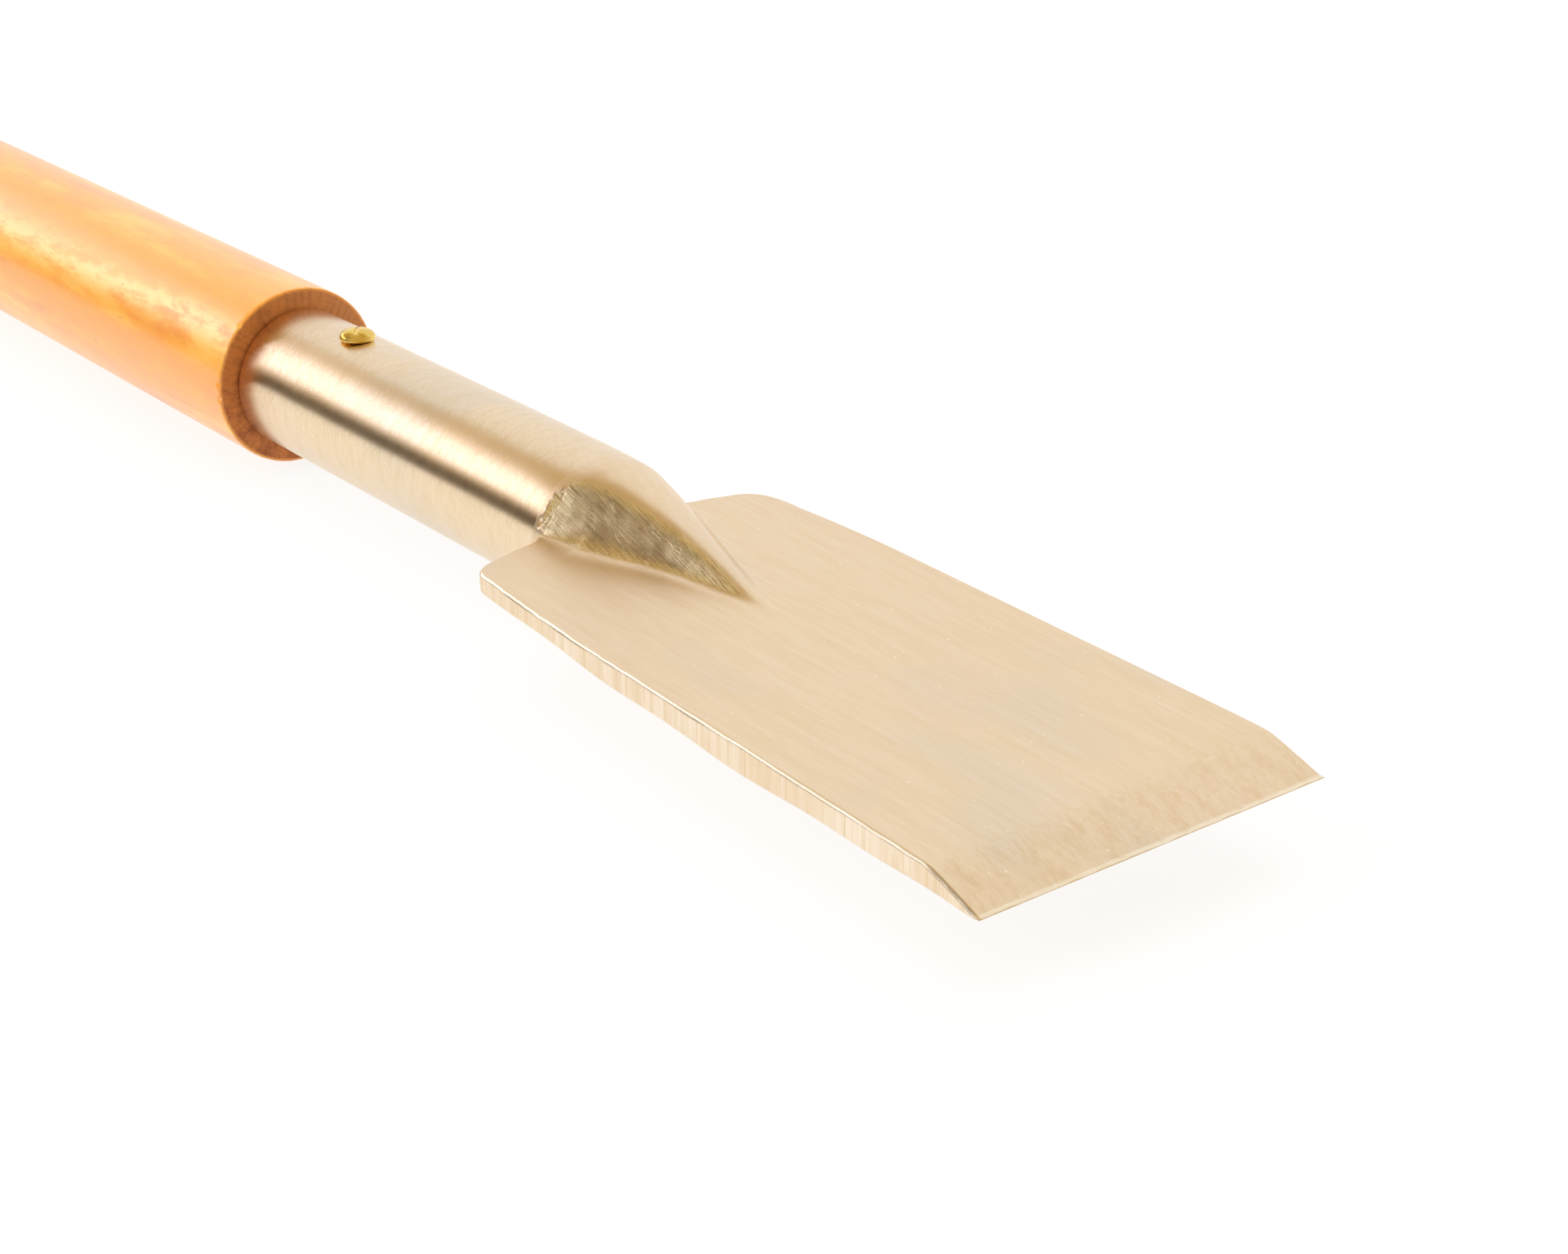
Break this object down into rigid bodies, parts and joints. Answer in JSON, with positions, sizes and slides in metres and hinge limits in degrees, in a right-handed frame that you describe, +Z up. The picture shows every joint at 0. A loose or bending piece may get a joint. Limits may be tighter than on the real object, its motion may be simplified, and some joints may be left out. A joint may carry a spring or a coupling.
{
  "type": "push scraper",
  "caption": "Long-handled push scraper: flat bronze blade with bevelled edge, cone and welded tube socket, turned wooden handle pinned by a slotted wood screw.",
  "frame": {"origin": "on the surface the tool lies on, under the middle of its box", "axes": "+X along the tool from the handle's butt to the cutting edge, +Y across the blade, +Z up out of the blade's top face"},
  "size_m": [1.2, 0.074, 0.0399],
  "materials": {
    "bronze_blade": "pale aluminium bronze, ground lengthwise to a fine satin, coarser grind marks on the sides and the cone",
    "bronze_weld": "weld bead dressed by grinding, satin with coarse scratches",
    "bronze_tube": "smooth turned tube, half-bright, fine marks round the tube",
    "lacquered_wood": "honey-coloured lengthwise grain under clear gloss lacquer, raw rough end grain at the shoulder",
    "brass_screw": "polished yellow brass with light wear"
  },
  "bodies": {
    "root": {"blade": "bronze_blade", "weld_seam": "bronze_weld", "socket_tube": "bronze_tube", "handle": "lacquered_wood", "socket_screw": "brass_screw"}
  },
  "joints": []
}
